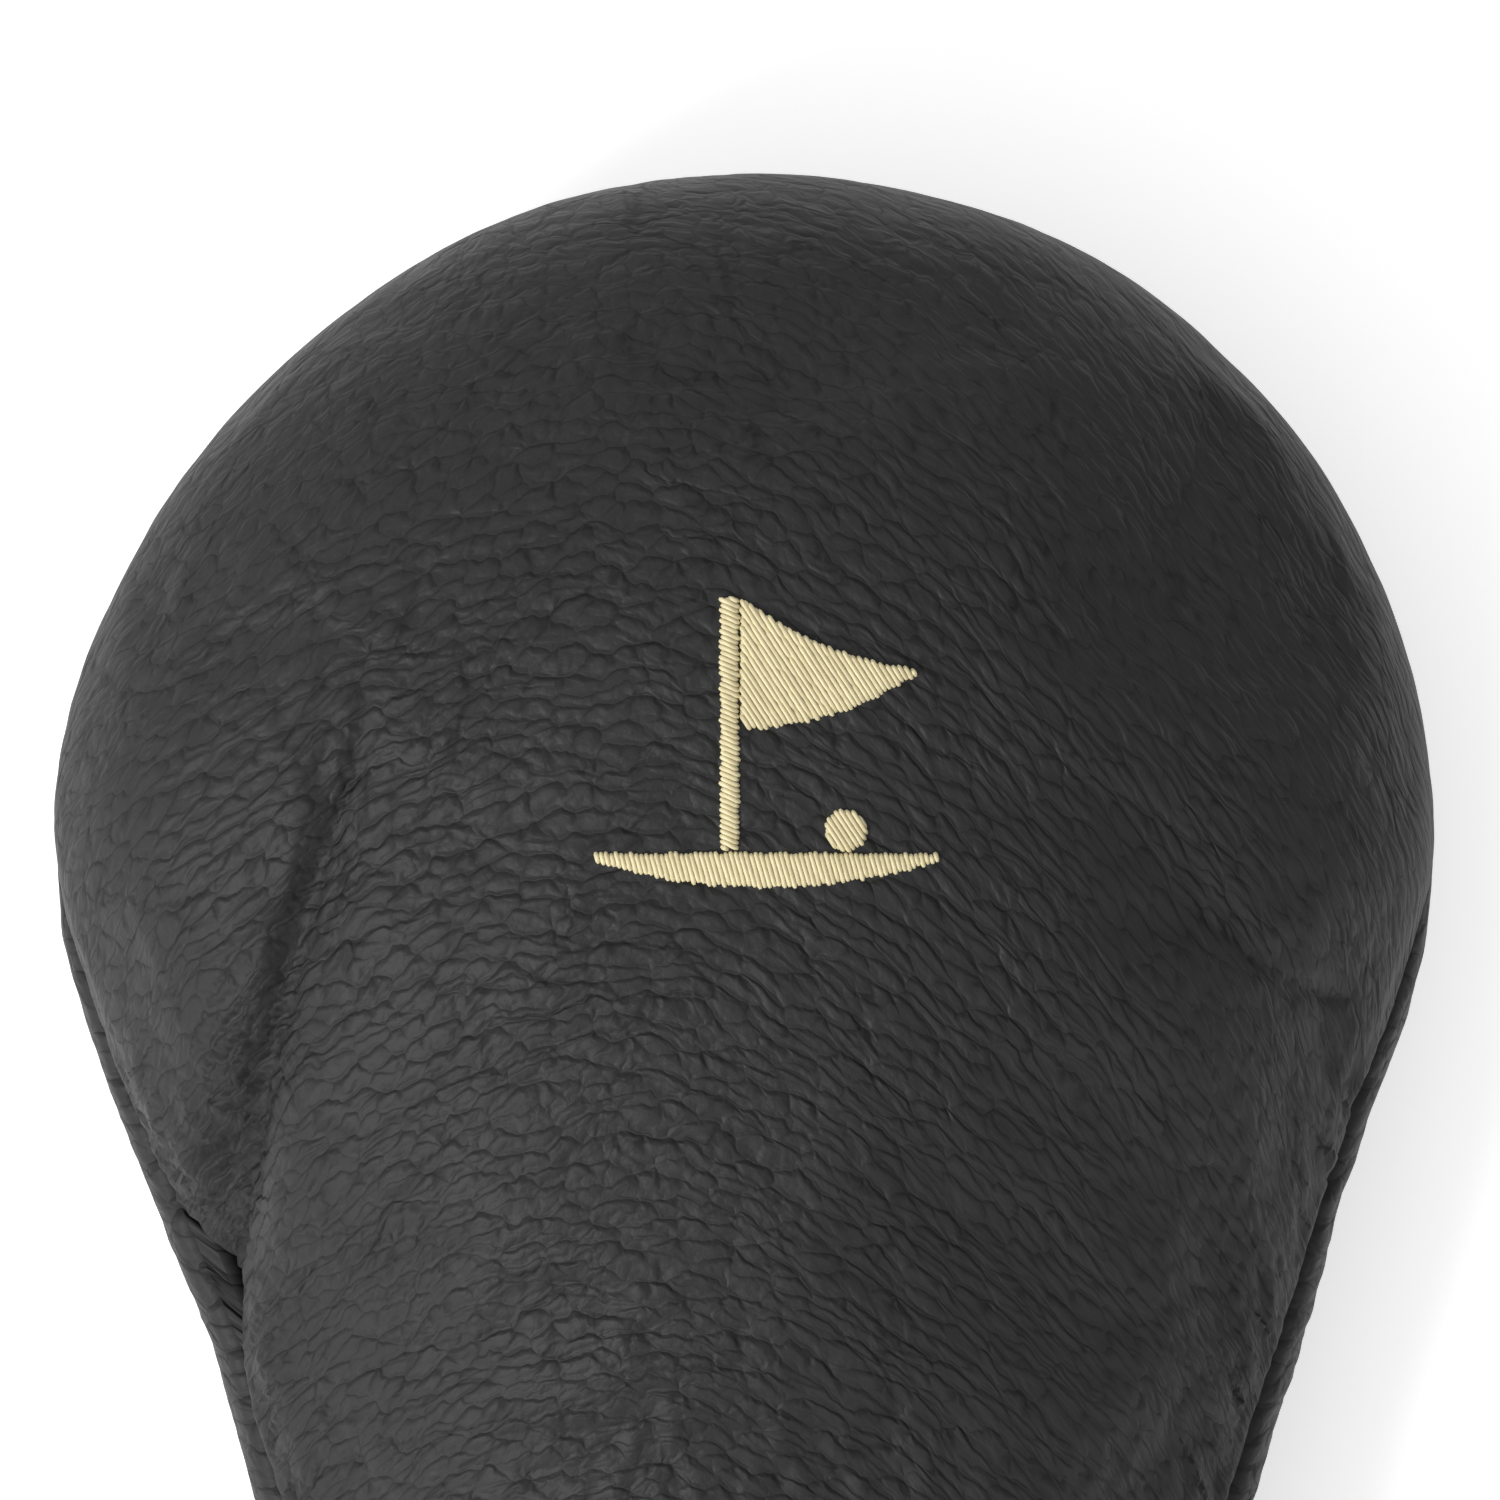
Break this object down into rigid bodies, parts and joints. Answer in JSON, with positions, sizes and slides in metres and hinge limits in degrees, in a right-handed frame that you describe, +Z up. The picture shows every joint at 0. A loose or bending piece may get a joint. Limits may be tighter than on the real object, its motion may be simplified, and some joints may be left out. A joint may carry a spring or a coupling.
{
  "type": "putter head cover",
  "caption": "Padded slip-on leather cover for a mallet putter head, with a fleece lining, elastic neck, bound mouth and an embroidered flag on the crown.",
  "frame": {"origin": "under the middle of the cover, at the height it rests on", "axes": "+X across the cover, +Y from the mouth towards the closed dome's tip, +Z up from the back panel through the front panel with the emblem"},
  "size_m": [0.118, 0.215, 0.0554],
  "materials": {
    "leather": "black pebbled full-grain leather, matte with a soft sheen",
    "binding_leather": "thin smooth black leather strip",
    "foam": "open-cell polyurethane foam, off-white",
    "fleece": "short-pile charcoal fleece",
    "seam_thread": "bonded black nylon thread",
    "top_thread": "black topstitching thread",
    "elastic": "woven white elastic",
    "casing_tape": "black woven tape",
    "gold_thread": "pale gold satin-stitch embroidery thread",
    "stabiliser": "white non-woven backing"
  },
  "bodies": {
    "root": {"front_panel": "leather", "back_panel": "leather", "front_padding": "foam", "back_padding": "foam", "front_lining": "fleece", "back_lining": "fleece", "perimeter_seam_thread": "seam_thread", "lining_seam_thread": "seam_thread", "neck_elastic": "elastic", "elastic_casing": "casing_tape", "neck_upper_stitches": "top_thread", "neck_lower_stitches": "top_thread", "hem_binding": "binding_leather", "hem_stitches": "top_thread", "emblem_embroidery": "gold_thread", "emblem_backing": "stabiliser"}
  },
  "joints": []
}
